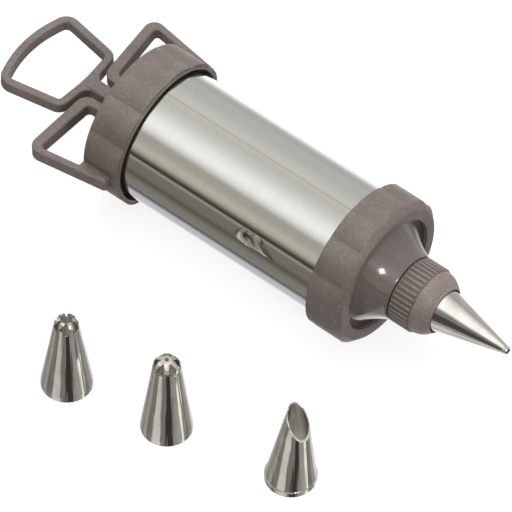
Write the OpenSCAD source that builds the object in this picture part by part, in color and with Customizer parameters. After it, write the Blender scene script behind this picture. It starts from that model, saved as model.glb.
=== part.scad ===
// Pastry syringe lying on a table, with three spare nozzles standing beside it.
// X runs along the syringe from the thumb ring to the nozzle tip, Z is up, the table is at Z = 0.
// Places along the syringe are counted from the back face of the rear cap.

/* [Barrel] */
// Outer diameter of the steel tube
tube_d = 49.4; // [46:0.2:56]
// Thickness of the rolled steel sheet
tube_wall = 0.6; // [0.4:0.1:0.9]
// Length of tube that shows between the two lobed caps
tube_show = 82; // [60:0.2:120]
// Thickness of the plastic ring pressed onto each end of the tube
ring_wall = 1.05; // [1:0.05:1.4]
// Length of each plastic ring along the tube
ring_len = 8; // [7.5:0.1:8.2]

/* [Lobed caps] */
// Wall of the rear cap and front collar, from bore to the crown of a lobe
cap_wall = 2.1; // [1.6:0.1:3]
// Number of lobes round each of them
lobe_count = 12; // [8:4:16]
// Depth of the notch between two lobes
lobe_dip = 1.1; // [0.6:0.05:1.1]
// Length of the rear cap
cap_len = 15.9; // [14:0.1:18]
// Thickness of the rear cap's end wall
cap_end = 3; // [2.4:0.1:3.6]
// Length of the front collar
collar_len = 14.5; // [13.6:0.1:16]
// Diameter of the opening in the front collar
collar_open_d = 43; // [40:0.5:44]
// Thickness of the lip round that opening
collar_lip = 2; // [1.6:0.1:2.4]
// Length of the bevel on the collar's front edge
collar_bevel = 2.6; // [1:0.1:3]
// Twist that frees the rear cap from the barrel, in degrees
cap_twist = 60; // [40:1:70]

/* [Finger loops] */
// Distance from the cap's back face to the far side of the loops
loop_reach = 19.3; // [17:0.1:28]
// Half width over both loops at their widest
loop_half_w = 34.4; // [33:0.1:40]
// Width of the loop bars
loop_bar = 3.1; // [2.6:0.1:3.8]
// Width of the bar across the far end of a finger loop
loop_rear_bar = 4.5; // [3.4:0.1:5]
// How much further back the loops reach at their far corners than at the legs
loop_sweep = 2; // [0:0.1:3]
// How far the loops are turned round the syringe from level
loop_tilt = 4.5; // [0:0.5:6]
// Thickness of the loop bars
loop_t = 5; // [3:0.1:6]
// Distance from the axis to the inner legs
leg_gap = 4.4; // [3.6:0.1:6]

/* [Plunger] */
// Outer length of the thumb ring
thumb_len = 30.6; // [26:0.2:40]
// Half width of the thumb ring at its shoulders, before they are rounded
thumb_half_w = 19.8; // [18:0.2:28]
// Outer half width of the thumb ring at its crossbar
thumb_foot_w = 15.2; // [14:0.2:22]
// Width of the thumb ring's bars
thumb_bar = 3.4; // [3:0.1:4.2]
// Thickness of the thumb ring
thumb_t = 4.3; // [3:0.1:5]
// Width of the rod, across the syringe
rod_w = 5.4; // [4.6:0.1:6]
// Thickness of the rod, up and down
rod_t = 4.8; // [4.4:0.1:7]

/* [Piston] */
// Thickness of the backing disc
back_disc_t = 2.5; // [2:0.1:4]
// Thickness of the seal between the two discs
seal_t = 3; // [2.4:0.1:4]
// Thickness of the front disc
front_disc_t = 4; // [3.6:0.1:6]
// Diameter of the spigot that holds the discs
spigot_d = 6.4; // [6:0.1:7]

/* [Funnel] */
// Thickness of the flange that the collar holds
flange_t = 1.8; // [1.4:0.1:2.2]
// Thickness of the flat seal behind the flange
gasket_t = 1; // [0.8:0.1:1.4]
// How far that seal reaches inward from the bore of the tube
gasket_reach = 4.7; // [4:0.1:6]
// Outer radius where the trumpet leaves the flange
trumpet_r = 20.4; // [19:0.1:20.8]
// Radius of the concave sweep of the trumpet
sweep_r = 23; // [20:0.5:40]
// Distance from the collar's front face to the back of the nozzle nut
nut_stand_off = 9.1; // [8:0.1:14]
// Wall of the trumpet
funnel_wall = 1.6; // [1.2:0.1:1.8]
// Outer diameter of the threaded nose
nose_d = 20.8; // [20.4:0.1:21.4]

/* [Nozzle nut] */
// Diameter over the ribs
nut_d = 25; // [24.4:0.1:27]
// Number of grip ribs
rib_count = 40; // [24:1:48]
// Height of the ribs
rib_h = 0.45; // [0.3:0.05:0.6]
// Length of the ribbed band
knurl_len = 8.9; // [8:0.1:12]
// Length of the domed front
dome_len = 6.4; // [6:0.1:10]
// Diameter of the nut's front opening
nut_mouth_d = 16.6; // [16.4:0.1:17]

/* [Nozzles] */
// Diameter of every nozzle at its base
nozzle_base_d = 18.2; // [18:0.1:19]
// Thickness of the nozzle sheet
nozzle_wall = 0.45; // [0.3:0.05:0.6]
// Length of the straight land inside each base
seat_len = 2; // [1.5:0.1:3]
// Length of the fitted round nozzle
round_len = 33.8; // [30:0.2:40]
// Diameter of the fitted nozzle's tip
round_tip_d = 2.5; // [2.4:0.1:5]
// Height of the star nozzle
star_h = 34.8; // [30:0.2:38]
// Height of the rosette nozzle
rosette_h = 36.5; // [32:0.2:42]
// Height of the leaf nozzle
leaf_h = 40; // [36:0.2:44]
// Number of teeth on the star nozzle
star_teeth = 6; // [5:1:7]
// Width of its teeth
star_tooth_w = 1.5; // [1.3:0.1:1.5]
// Number of bars on the rosette nozzle
rosette_bars = 6; // [5:1:7]
// Width of its bars
rosette_bar_w = 1.8; // [1.4:0.1:2.2]

/* [Places of the spare nozzles] */
// Place of the star nozzle along the syringe
star_x = 43.2; // [30:0.1:60]
// Place of the star nozzle to the side
star_y = -88; // [-100:0.1:-60]
// Place of the rosette nozzle along the syringe
rosette_x = 81.3; // [64:0.1:92]
// Place of the rosette nozzle to the side
rosette_y = -81; // [-100:0.1:-60]
// Place of the leaf nozzle along the syringe
leaf_x = 127.3; // [112:0.1:140]
// Place of the leaf nozzle to the side
leaf_y = -71.1; // [-100:0.1:-56]

/* [Hidden] */
$fn = 96;
taupe = "#847975";

// Clearances, and one overrun for every cut
glue_gap = 0.05;
thread_gap = 0.1;
face_gap = 0.1;
slide_gap = 0.2;
piston_gap = 0.25;
seal_gap = 0.05;
over = 1;
arc_steps = 10;

// Radii of the barrel and of what screws onto it
tube_r = tube_d / 2;
tube_in_r = tube_r - tube_wall;
ring_in_r = tube_r + glue_gap;
ring_r = ring_in_r + ring_wall;
cap_bore_r = ring_r + thread_gap;
collar_bore_r = ring_r + thread_gap;
cap_r = cap_bore_r + cap_wall;
notch_r = cap_r - lobe_dip;
half_lobe = 180 / lobe_count;
lobe_off = (cap_r * cap_r - notch_r * notch_r) / (2 * (cap_r - notch_r * cos(half_lobe)));
lobe_r = cap_r - lobe_off;
axis_h = lobe_off * cos(half_lobe) + lobe_r;

// Places along the syringe, from the cap's back face to the nozzle tip
tube_x0 = cap_end + slide_gap;
collar_x0 = cap_len + tube_show;
collar_x1 = collar_x0 + collar_len;
flange_x1 = collar_x1 - collar_lip - face_gap;
flange_x0 = flange_x1 - flange_t;
gasket_x0 = flange_x0 - gasket_t;
tube_x1 = gasket_x0 - seal_gap;
front_ring_x0 = tube_x1 - ring_len;
nut_x0 = collar_x1 + nut_stand_off;
nut_x1 = nut_x0 + knurl_len;
nut_x2 = nut_x1 + dome_len;
nut_grip = 6.6;
nozzle_x0 = nut_x2 - nut_grip;
tip_x = nozzle_x0 + round_len;

// Bayonet: three lugs in the cap lock into grooves in the rear ring
lug_count = 3;
lug_angle = 30;
lug_margin = 2;
lug_len = 2;
lug_h = 0.6;
lug_x0 = tube_x0 + lug_len;
lug_in_r = cap_bore_r - lug_h;
groove_r = lug_in_r - thread_gap;
slot_angle = lug_angle + 2 * lug_margin;

// Rear cap
cap_back_bevel = 1.4;
rim_lip_h = 0.5;
rim_lip_t = 0.55;
boss_len = 3;
boss_r = 6.5;

// Finger loops, as seen from above
loop_x0 = -loop_reach;
loop_end_share = 0.78;
loop_end_x = cap_len * loop_end_share;
loop_end_out = 2.3;
loop_end_w = cap_r + loop_end_out;
loop_root_x = cap_end / 2;
loop_root_w = notch_r - lobe_dip / 2;
loop_corner_r = 4.2;
loop_in_r = 2.6;
leg_w = 3.8;
leg_corner_r = 4.6;
leg_in_r = 2.6;
leg_x0 = loop_x0 + loop_sweep;
loop_arc = [loop_x0 + loop_corner_r, loop_half_w - loop_corner_r];
loop_foot = [loop_end_x, loop_end_w];
loop_lean = atan2(loop_foot.y - loop_arc.y, loop_foot.x - loop_arc.x)
    + acos(loop_corner_r / norm(loop_foot - loop_arc));
loop_tip_y = loop_arc.y + loop_corner_r * (1 + cos(loop_lean)) / sin(loop_lean);
loop_drop = cos(loop_lean) / sin(loop_lean);

// Thumb ring, as seen from above
ring_stop_gap = 1.9;
thumb_bulge = 1.2;
thumb_foot_x = leg_x0 - ring_stop_gap;
thumb_x1 = thumb_foot_x + thumb_bulge;
thumb_x0 = thumb_x1 - thumb_len;
thumb_crown_r = 44;
thumb_crown_lean = 16.5;
thumb_peak_x = thumb_x0 - thumb_crown_r * (1 / cos(thumb_crown_lean) - 1);
thumb_shoulder_x = thumb_peak_x + thumb_half_w * tan(thumb_crown_lean);
thumb_shoulder_r = 5.5;
thumb_foot_r = 4.6;
thumb_bow_r = 60;
thumb_peak = [[thumb_peak_x, 0, thumb_crown_r]];
thumb_side = [[thumb_shoulder_x, thumb_half_w, thumb_shoulder_r], [thumb_foot_x, thumb_foot_w, thumb_foot_r]];
neck_fillet_r = 4;
neck_inset = 0.2;
neck_w = rod_w / 2 - neck_inset;
neck_len = 12;

// Piston stack, pushed fully forward
piston_r = tube_in_r - piston_gap;
seal_r = tube_in_r - seal_gap;
piston_x3 = tube_x1 - over;
piston_x2 = piston_x3 - front_disc_t;
piston_x1 = piston_x2 - seal_t;
piston_x0 = piston_x1 - back_disc_t;
spigot_r = spigot_d / 2;
seal_waist_share = 0.3;
seal_waist_depth = 1.2;
recess_r = 5.4;
recess_depth = 2.6;
recess_x = piston_x3 - recess_depth;
washer_r = 5;
washer_t = 0.8;
screw_head_r = 3.2;
screw_head_h = 1.6;
screw_r = 1.6;
screw_len = 9;
screw_slot_w = 0.8;
screw_slot_h = 0.7;

// Funnel, its seal and its threaded nose
flange_r = ring_r - ring_wall;
gasket_in_r = tube_in_r - gasket_reach;
nose_r = nose_d / 2;
nut_r = nut_d / 2;
shoulder_x = nut_x0 - slide_gap;
nose_x1 = nozzle_x0 - slide_gap;
seat_r = nozzle_base_d / 2 - nozzle_wall;
pilot_r = seat_r - thread_gap;
pilot_x1 = nozzle_x0 + seat_len - slide_gap;
nose_bore_r = pilot_r - funnel_wall;
trumpet_out = sweep([trumpet_r, flange_x1], [nut_r, shoulder_x], sweep_r);
trumpet_in = sweep([trumpet_r, flange_x1], [nut_r, shoulder_x], sweep_r, funnel_wall);

// Nozzle nut
nut_bore_r = nose_r + thread_gap;
nut_root_r = nut_r - rib_h;
rib_w_share = 0.5;
rib_w = rib_w_share * 360 / rib_count;
dome_r = nut_root_r - rib_h / 2;
dome_bow_r = 7;
dome_lip = 0.9;
nut_mouth_r = nut_mouth_d / 2;

// Nozzles: radii and heights of their worked tips
nozzle_base_r = nozzle_base_d / 2;
base_taper = 0.15;
round_tip_r = round_tip_d / 2;
outlet_len = 2;
star_neck_r = 4.2;
star_tip_r = 2;
star_crown_h = 2.2;
star_bow_r = 4;
star_window_h = 2.8;
star_arch_w = 2.6;
star_turn = -22;
star_hub_r = 0;
rosette_neck_r = 5;
rosette_tip_r = 0.7;
rosette_hub_r = 2;
rosette_crown_h = 4.2;
rosette_bow_r = 4.2;
rosette_window_h = 1.8;
rosette_arch_w = 2.7;
rosette_turn = 8;
leaf_neck_r = 3.2;
leaf_low_h = 26.5;
leaf_lean = 4;
leaf_turn = -10;
leaf_low_r = nozzle_base_r + (leaf_neck_r - nozzle_base_r) * leaf_low_h / leaf_h;
leaf_top_x = leaf_h * sin(leaf_lean) - leaf_neck_r;
leaf_low_x = leaf_low_h * sin(leaf_lean) + leaf_low_r;
leaf_cut = atan2(leaf_h - leaf_low_h, leaf_low_x - leaf_top_x);

// Middle of the whole part, so that the origin lies under it on the table
side_y = min(star_y, rosette_y, leaf_y) - nozzle_base_r;
mid_x = (thumb_x0 + tip_x) / 2;
mid_y = (loop_half_w + side_y) / 2;

// Unit vector, and the arc of radius r that rounds the corner b of a path a, b, c
function unit(v) = v / norm(v);
function swing(a) = a > 180 ? a - 360 : a < -180 ? a + 360 : a;
function arc(mid, r, from, to) =
    [for (i = [0:arc_steps]) mid + r * [cos(from + swing(to - from) * i / arc_steps),
                                        sin(from + swing(to - from) * i / arc_steps)]];
function round_corner(a, b, c, r) =
    let (u = unit(a - b), w = unit(c - b), half = acos(u * w) / 2,
         mid = b + unit(u + w) * r / sin(half),
         p = b + u * r / tan(half) - mid, q = b + w * r / tan(half) - mid)
    arc(mid, r, atan2(p.y, p.x), atan2(q.y, q.x));

// Closed outline of corners [x, y, radius]: a corner of radius 0 stays sharp
function flat_of(p) = [p.x, p.y];
function rounded(path) =
    [for (i = [0:len(path) - 1])
        let (n = len(path), a = flat_of(path[(i + n - 1) % n]), b = path[i], c = flat_of(path[(i + 1) % n]))
        each b.z > 0 ? round_corner(a, flat_of(b), c, b.z) : [flat_of(b)]];
function both_sides(path, middle = []) =
    concat(path, middle, [for (i = [len(path) - 1:-1:0]) [path[i].x, -path[i].y, path[i].z]]);

// The same outline moved inwards by w, which only convex corners take
function inset(path, w) =
    [for (i = [0:len(path) - 1])
        let (n = len(path), b = flat_of(path[i]), u = unit(flat_of(path[(i + n - 1) % n]) - b),
             v = unit(flat_of(path[(i + 1) % n]) - b), c = b + unit(u + v) * w / sin(acos(u * v) / 2))
        [c.x, c.y, path[i].z - w]];

// Arc from p to q with radius r. Its middle lies outside the outline, and inside it when r is negative.
// A wall above 0 gives the arc that lies that far inside it.
function sweep(p, q, r, wall = 0) =
    let (d = q - p, reach = sqrt(r * r - d * d / 4), side = unit([d.y, -d.x]) * sign(r),
         mid = (p + q) / 2 + side * reach, u = p - mid, w = q - mid)
    arc(mid, abs(r) + wall * sign(r), atan2(u.y, u.x), atan2(w.y, w.x));

// What lies on the syringe's axis is drawn along Z, and what lies flat is drawn as seen from above
module on_axis(x = 0) translate([x - mid_x, -mid_y, axis_h]) rotate([0, 90, 0]) children();
module from_above(t) translate([-mid_x, -mid_y, axis_h - t / 2]) linear_extrude(t) children();
module standing(x, y) translate([x - mid_x, y - mid_y, 0]) children();

module pipe(x0, x1, r0, r1) on_axis(x0) difference() {
    cylinder(r = r1, h = x1 - x0);
    translate([0, 0, -over]) cylinder(r = r0, h = x1 - x0 + 2 * over);
}
module lobed(len) linear_extrude(len) {
    circle(lobe_off);
    for (i = [1:lobe_count]) rotate((2 * i - 1) * half_lobe) translate([lobe_off, 0]) circle(lobe_r);
}
module rod_slot(x, len) on_axis(x) translate([-rod_t / 2 - slide_gap, -rod_w / 2 - slide_gap, 0])
    cube([rod_t + 2 * slide_gap, rod_w + 2 * slide_gap, len]);

// Barrel: a rolled steel tube with a plastic ring pressed onto each end
module barrel_tube() color("silver") pipe(tube_x0, tube_x1, tube_in_r, tube_r);
module barrel_rear_ring() color("dimgray") difference() {
    pipe(tube_x0, tube_x0 + ring_len, ring_in_r, ring_r);
    on_axis() for (i = [1:lug_count]) rotate(i * 360 / lug_count) {
        translate([0, 0, lug_x0 - slide_gap]) rotate_extrude(angle = cap_twist + slot_angle)
            translate([groove_r, 0]) square([ring_r, lug_len + 2 * slide_gap]);
        translate([0, 0, tube_x0 - over]) rotate_extrude(angle = slot_angle)
            translate([groove_r, 0]) square([ring_r, lug_len + 2 * over]);
    }
}
module barrel_front_ring() color("dimgray") pipe(front_ring_x0, tube_x1, ring_in_r, ring_r);

// Rear cap with its finger loops, the guide for the rod and the bayonet lugs
module finger_loop() from_above(loop_t) difference() {
    polygon(rounded([[loop_root_x, leg_gap, 0], [leg_x0, leg_gap, leg_corner_r],
                     [loop_x0, loop_tip_y, loop_corner_r], [loop_end_x, loop_end_w, lobe_dip],
                     [loop_end_x, loop_root_w, 0], [loop_root_x, loop_root_w, 0]]));
    polygon(rounded([[0, leg_gap + leg_w, 0], [leg_x0 + loop_rear_bar, leg_gap + leg_w, leg_in_r],
                     [loop_x0 + loop_rear_bar, loop_tip_y - loop_bar - loop_rear_bar * loop_drop, loop_in_r],
                     [0, loop_end_w + loop_end_x * loop_drop - loop_bar, 0]]));
}
module cap_shell() on_axis() difference() {
    intersection() {
        lobed(cap_len);
        rotate_extrude() polygon([[0, 0], [cap_r - cap_back_bevel, 0], [cap_r, cap_back_bevel],
            [cap_r, cap_len - rim_lip_h], [cap_bore_r + rim_lip_t, cap_len - rim_lip_h],
            [cap_bore_r + rim_lip_t, cap_len], [0, cap_len]]);
    }
    translate([0, 0, cap_end]) difference() {
        cylinder(r = cap_bore_r, h = cap_len);
        cylinder(r = boss_r, h = boss_len);
    }
}
module rear_cap() color(taupe) {
    difference() {
        union() {
            cap_shell();
            on_axis() for (i = [1:lug_count])
                rotate(i * 360 / lug_count + cap_twist + lug_margin) translate([0, 0, lug_x0])
                    rotate_extrude(angle = lug_angle) translate([lug_in_r, 0])
                        square([lug_h + rim_lip_t, lug_len]);
            translate([0, -mid_y, axis_h]) rotate([loop_tilt, 0, 0]) for (side = [0, 1])
                mirror([0, side, 0]) translate([0, mid_y, -axis_h]) finger_loop();
        }
        rod_slot(-over, cap_end + boss_len + 2 * over);
    }
}

// Plunger: thumb ring, neck and rod in one moulding, with a spigot that carries the piston
module thumb_ring() from_above(thumb_t) difference() {
    polygon(rounded(concat(thumb_peak, both_sides(concat(thumb_side,
        [[thumb_x1, neck_w, neck_fillet_r], [thumb_x1 + neck_len, neck_w, 0]])))));
    polygon(rounded(inset(concat(thumb_peak, both_sides(thumb_side, [[thumb_x1, 0, thumb_bow_r]])),
        thumb_bar)));
}
module plunger() color(taupe) difference() {
    union() {
        thumb_ring();
        on_axis(thumb_x1 - thumb_bar / 2) translate([-rod_t / 2, -rod_w / 2, 0])
            cube([rod_t, rod_w, piston_x0 - thumb_x1 + thumb_bar / 2]);
        on_axis(piston_x0 - over) cylinder(r = spigot_r, h = recess_x - piston_x0 + over);
    }
    on_axis(recess_x - screw_len - over) cylinder(r = screw_r, h = screw_len + 2 * over);
}

// Piston: seal between two discs, held on the spigot by a screw and washer
module piston_back_disc() color(taupe) pipe(piston_x0, piston_x1, spigot_r + glue_gap, piston_r);
module piston_seal() color("whitesmoke") on_axis(piston_x1) rotate_extrude() polygon([
    [spigot_r + glue_gap, 0], [seal_r, 0], [seal_r, seal_t * seal_waist_share],
    [seal_r - seal_waist_depth, seal_t / 2], [seal_r, seal_t * (1 - seal_waist_share)],
    [seal_r, seal_t], [spigot_r + glue_gap, seal_t]]);
module piston_front_disc() color(taupe) difference() {
    pipe(piston_x2, piston_x3, spigot_r + glue_gap, piston_r);
    on_axis(recess_x) cylinder(r = recess_r, h = recess_depth + over);
}
module piston_washer() color("silver") pipe(recess_x, recess_x + washer_t, screw_r + glue_gap, washer_r);
module piston_screw() color("silver") on_axis(recess_x + washer_t) {
    translate([0, 0, -washer_t - screw_len]) cylinder(r = screw_r - glue_gap, h = screw_len + washer_t);
    difference() {
        cylinder(r = screw_head_r, h = screw_head_h);
        translate([-screw_slot_w / 2, -screw_head_r, screw_head_h - screw_slot_h])
            cube([screw_slot_w, 2 * screw_head_r, screw_slot_h + over]);
    }
}

// Front collar: clamps the funnel's flange against the end of the barrel
module front_collar() color(taupe) on_axis(collar_x0) difference() {
    intersection() {
        lobed(collar_len);
        rotate_extrude() polygon([[0, 0], [cap_r - rim_lip_h, 0], [cap_r, rim_lip_h],
            [cap_r, collar_len - collar_bevel], [cap_r - collar_bevel, collar_len], [0, collar_len]]);
    }
    translate([0, 0, -over]) cylinder(r = collar_bore_r, h = collar_len - collar_lip + over);
    cylinder(d = collar_open_d, h = collar_len + over);
}

// Funnel: flange, glossy trumpet and threaded nose, hollow from end to end
module funnel() color(taupe) on_axis() rotate_extrude() polygon(concat(
    [[trumpet_in[0].x, flange_x0], [flange_r, flange_x0], [flange_r, flange_x1]], trumpet_out,
    [[nose_r, shoulder_x], [nose_r, nose_x1], [pilot_r, nose_x1], [pilot_r, pilot_x1],
     [nose_bore_r, pilot_x1], [nose_bore_r, shoulder_x + funnel_wall]],
    [for (i = [len(trumpet_in) - 1:-1:0]) trumpet_in[i]]));
module funnel_gasket() color("whitesmoke") pipe(gasket_x0, flange_x0, gasket_in_r, flange_r);

// Nozzle nut: ribbed band and dome, screwed onto the nose over the nozzle's base
module nozzle_nut() color(taupe) on_axis() {
    rotate_extrude() polygon(concat(
        [[nut_bore_r, nut_x0], [nut_root_r, nut_x0], [nut_root_r, nut_x1]],
        sweep([dome_r, nut_x1], [nut_mouth_r + dome_lip, nut_x2 - dome_lip], -dome_bow_r),
        sweep([nut_mouth_r + dome_lip, nut_x2 - dome_lip], [nut_mouth_r, nut_x2], -dome_lip),
        [[nozzle_base_r + slide_gap, nozzle_x0 + seat_len], [nozzle_base_r + slide_gap, nose_x1],
         [nut_bore_r, nose_x1]]));
    translate([0, 0, nut_x0 + rib_h]) for (i = [1:rib_count]) rotate(i * 360 / rib_count)
        rotate_extrude(angle = rib_w) translate([nut_root_r - rib_h, 0])
            square([2 * rib_h, knurl_len - 2 * rib_h]);
}

// Nozzles: a short base band, straight inside, then a cone of sheet to the worked tip
function back_to_front(path) = [for (i = [len(path) - 1:-1:0]) path[i]];
module crowned(neck_r, tip_r, h, crown_h, bow_r) rotate_extrude() polygon(concat(
    [[nozzle_base_r, 0], [nozzle_base_r - base_taper, seat_len]],
    sweep([neck_r, h - crown_h], [tip_r, h], -bow_r),
    back_to_front(concat([[seat_r, 0], [seat_r, seat_len]],
        sweep([neck_r, h - crown_h], [tip_r, h], -bow_r, nozzle_wall)))));
module round_nozzle() color("silver") on_axis(nozzle_x0) rotate_extrude() polygon([
    [seat_r, 0], [nozzle_base_r, 0], [nozzle_base_r - base_taper, seat_len], [round_tip_r, round_len],
    [round_tip_r - nozzle_wall, round_len], [round_tip_r - nozzle_wall, round_len - outlet_len],
    [seat_r, seat_len]]);

// Windows round the crown of a nozzle, arched below, between bars of even width
module windows(count, bar_w, h, arch_w, hub_r) {
    half = 180 / count;
    apex = max(hub_r, bar_w / 2 / sin(half));
    inner = (apex - bar_w / 2 / sin(half)) * tan(half);
    outer = inner + (nozzle_base_r - apex) * tan(half);
    for (i = [1:count]) rotate((2 * i - 1) * half) {
        linear_extrude(h + over) polygon([[apex, -inner], [nozzle_base_r, -outer],
                                          [nozzle_base_r, outer], [apex, inner]]);
        translate([arch_w, 0, 0]) rotate([0, 90, 0]) cylinder(d = arch_w, h = nozzle_base_r);
    }
}
module star_nozzle() color("silver") standing(star_x, star_y) difference() {
    crowned(star_neck_r, star_tip_r, star_h, star_crown_h, star_bow_r);
    translate([0, 0, star_h - star_window_h]) rotate(star_turn)
        windows(star_teeth, star_tooth_w, star_window_h, star_arch_w, star_hub_r);
}
module rosette_nozzle() color("silver") standing(rosette_x, rosette_y) difference() {
    crowned(rosette_neck_r, rosette_tip_r, rosette_h, rosette_crown_h, rosette_bow_r);
    translate([0, 0, rosette_h - rosette_window_h]) rotate(rosette_turn)
        windows(rosette_bars, rosette_bar_w, rosette_window_h, rosette_arch_w, rosette_hub_r);
}
module leaf_cone(r1, r2) rotate([0, leaf_lean, 0]) cylinder(r1 = r1, r2 = r2, h = leaf_h + over);
module leaf_nozzle() color("silver") standing(leaf_x, leaf_y) rotate(leaf_turn) difference() {
    union() {
        cylinder(r = nozzle_base_r, h = seat_len);
        intersection() {
            leaf_cone(nozzle_base_r, leaf_neck_r);
            cylinder(r = leaf_h, h = 2 * leaf_h);
        }
    }
    translate([0, 0, -over]) cylinder(r = seat_r, h = seat_len + over);
    leaf_cone(seat_r, leaf_neck_r - nozzle_wall);
    translate([leaf_top_x, -nozzle_base_r, leaf_h]) rotate([0, leaf_cut, 0]) translate([-leaf_h, 0, 0])
        cube([3 * leaf_h, 2 * nozzle_base_r, leaf_h]);
}

barrel_tube();
barrel_rear_ring();
barrel_front_ring();
rear_cap();
plunger();
piston_back_disc();
piston_seal();
piston_front_disc();
piston_washer();
piston_screw();
front_collar();
funnel();
funnel_gasket();
nozzle_nut();
round_nozzle();
star_nozzle();
rosette_nozzle();
leaf_nozzle();
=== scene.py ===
import bpy
import bmesh
import math
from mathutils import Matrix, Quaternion, Vector


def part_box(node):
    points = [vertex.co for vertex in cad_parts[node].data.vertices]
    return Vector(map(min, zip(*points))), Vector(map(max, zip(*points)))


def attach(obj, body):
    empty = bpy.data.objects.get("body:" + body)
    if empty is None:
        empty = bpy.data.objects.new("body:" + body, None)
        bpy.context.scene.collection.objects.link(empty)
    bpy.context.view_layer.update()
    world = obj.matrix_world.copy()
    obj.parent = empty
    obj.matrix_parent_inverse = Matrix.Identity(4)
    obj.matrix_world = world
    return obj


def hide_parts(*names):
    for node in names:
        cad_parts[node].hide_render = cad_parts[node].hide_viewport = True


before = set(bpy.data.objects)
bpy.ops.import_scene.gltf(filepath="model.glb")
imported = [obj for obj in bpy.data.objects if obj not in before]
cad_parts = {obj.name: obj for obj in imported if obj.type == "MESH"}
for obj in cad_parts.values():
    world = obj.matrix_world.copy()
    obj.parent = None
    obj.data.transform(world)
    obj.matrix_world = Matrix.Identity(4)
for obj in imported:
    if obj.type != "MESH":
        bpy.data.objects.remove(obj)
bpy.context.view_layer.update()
mm = 0.001

# Everything on the syringe is placed from its axis. x counts along it from the rear cap's back face.
tubeLow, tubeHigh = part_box("barrel_tube")
tubeStart = 3.2
axisY = (tubeLow.y + tubeHigh.y) / 2
axisZ = (tubeLow.z + tubeHigh.z) / 2
capBackX = tubeLow.x - tubeStart * mm


# Small helpers
def toLinear(channel):
    return channel / 12.92 if channel <= 0.04045 else ((channel + 0.055) / 1.055) ** 2.4


def colour(hexCode):
    channels = [int(hexCode[i:i + 2], 16) / 255 for i in (1, 3, 5)]
    return tuple(toLinear(channel) for channel in channels) + (1.0,)


# given holds sockets or plain values by input name or index
def plug(tree, node, given):
    for slot, source in given.items():
        if isinstance(source, bpy.types.NodeSocket):
            tree.links.new(source, node.inputs[slot])
        else:
            node.inputs[slot].default_value = source


# A colour Mix takes its two colours at inputs 6 and 7 and gives the result at output 2
def addNode(tree, kind, given=None, **settings):
    node = tree.nodes.new(kind)
    for key, value in settings.items():
        setattr(node, key, value)
    plug(tree, node, given or {})
    return node


def newMaterial(name):
    material = bpy.data.materials.new(name)
    material.use_nodes = True
    tree = material.node_tree
    tree.nodes.clear()
    shader = addNode(tree, "ShaderNodeBsdfPrincipled")
    addNode(tree, "ShaderNodeOutputMaterial", {"Surface": shader.outputs["BSDF"]})
    coords = addNode(tree, "ShaderNodeTexCoord")
    return material, tree, shader, coords.outputs["Object"]


noiseMiddle = (0.3, 0.7)  # nearly all of a noise lies between these


# Cloudy pattern with blotches about size mm wide: gives the pattern itself, and then its middle
# spread over each (low, high) range
def blotches(tree, vector, size, *ranges, detail=3.0, rough=0.55):
    cloud = addNode(tree, "ShaderNodeTexNoise", {"Vector": vector, "Scale": 1 / (size * mm), "Detail": detail,
                                                 "Roughness": rough})
    outputs = [cloud.outputs["Fac"]]
    for low, high in ranges:
        spread = addNode(tree, "ShaderNodeMapRange",
                         {"Value": outputs[0], "From Min": noiseMiddle[0], "From Max": noiseMiddle[1],
                          "To Min": low, "To Max": high})
        outputs.append(spread.outputs[0])
    return outputs


def toMesh(bm, name):
    mesh = bpy.data.meshes.new(name)
    bm.to_mesh(mesh)
    bm.free()
    return mesh


def addObject(name, data):
    thing = bpy.data.objects.new(name, data)
    bpy.context.scene.collection.objects.link(thing)
    return thing


# The mesh that an object's modifiers give; the object itself goes
def bakedMesh(thing):
    made = bpy.data.meshes.new_from_object(thing.evaluated_get(bpy.context.evaluated_depsgraph_get()))
    bpy.data.objects.remove(thing)
    return made


def finishPiece(mesh, name, material, body, replaced, smoothAngle=35):
    piece = addObject(name, mesh)
    mesh.materials.clear()
    mesh.materials.append(material)
    bm = bmesh.new()
    bm.from_mesh(mesh)
    weld = 0.002 * mm
    bmesh.ops.remove_doubles(bm, verts=bm.verts, dist=weld)
    bmesh.ops.dissolve_degenerate(bm, edges=bm.edges, dist=weld / 2)
    bmesh.ops.recalc_face_normals(bm, faces=bm.faces)
    limit = math.radians(smoothAngle)
    for face in bm.faces:
        face.smooth = True
    for edge in bm.edges:
        edge.smooth = edge.calc_face_angle(0.0) < limit
    bm.to_mesh(mesh)
    bm.free()
    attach(piece, body)
    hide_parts(*replaced)


# Shows a CAD node as it is, in one material
def dress(nodeName, material):
    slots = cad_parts[nodeName].data.materials
    slots.clear()
    slots.append(material)


# Where a CAD node begins along the syringe
def backOf(nodeName):
    return (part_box(nodeName)[0].x - capBackX) / mm


# Point on the syringe: x, distance towards +Y and height, in mm
def inPlane(x, y, height):
    return Vector((capBackX + x * mm, axisY + y * mm, axisZ + height * mm))


# Point on the syringe: x and radius in mm, angle in radians from the top towards -Y
def alongAxis(x, radius, angle):
    return inPlane(x, -radius * math.sin(angle), radius * math.cos(angle))


# Faces between two closed rings of vertices
def bridge(bm, low, high):
    for k in range(len(low)):
        after = (k + 1) % len(low)
        bm.faces.new((low[k], low[after], high[after], high[k]))


# Closed profile of (x, radius) turned round the axis; reach(i, angle) can change a point's radius
def spun(profile, steps, reach=None):
    bm = bmesh.new()
    rings = []
    for i, (x, radius) in enumerate(profile):
        ring = []
        for k in range(steps):
            angle = 2 * math.pi * k / steps
            ring.append(bm.verts.new(alongAxis(x, reach(i, angle) if reach else radius, angle)))
        rings.append(ring)
    for ring, other in zip(rings, rings[1:] + rings[:1]):
        bridge(bm, ring, other)
    return toMesh(bm, "spun")


# Start angle and the short way round from one direction to another, in radians
def sweepBetween(start, end):
    first = math.atan2(start.y, start.x)
    return first, (math.atan2(end.y, end.x) - first + math.pi) % (2 * math.pi) - math.pi


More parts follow.
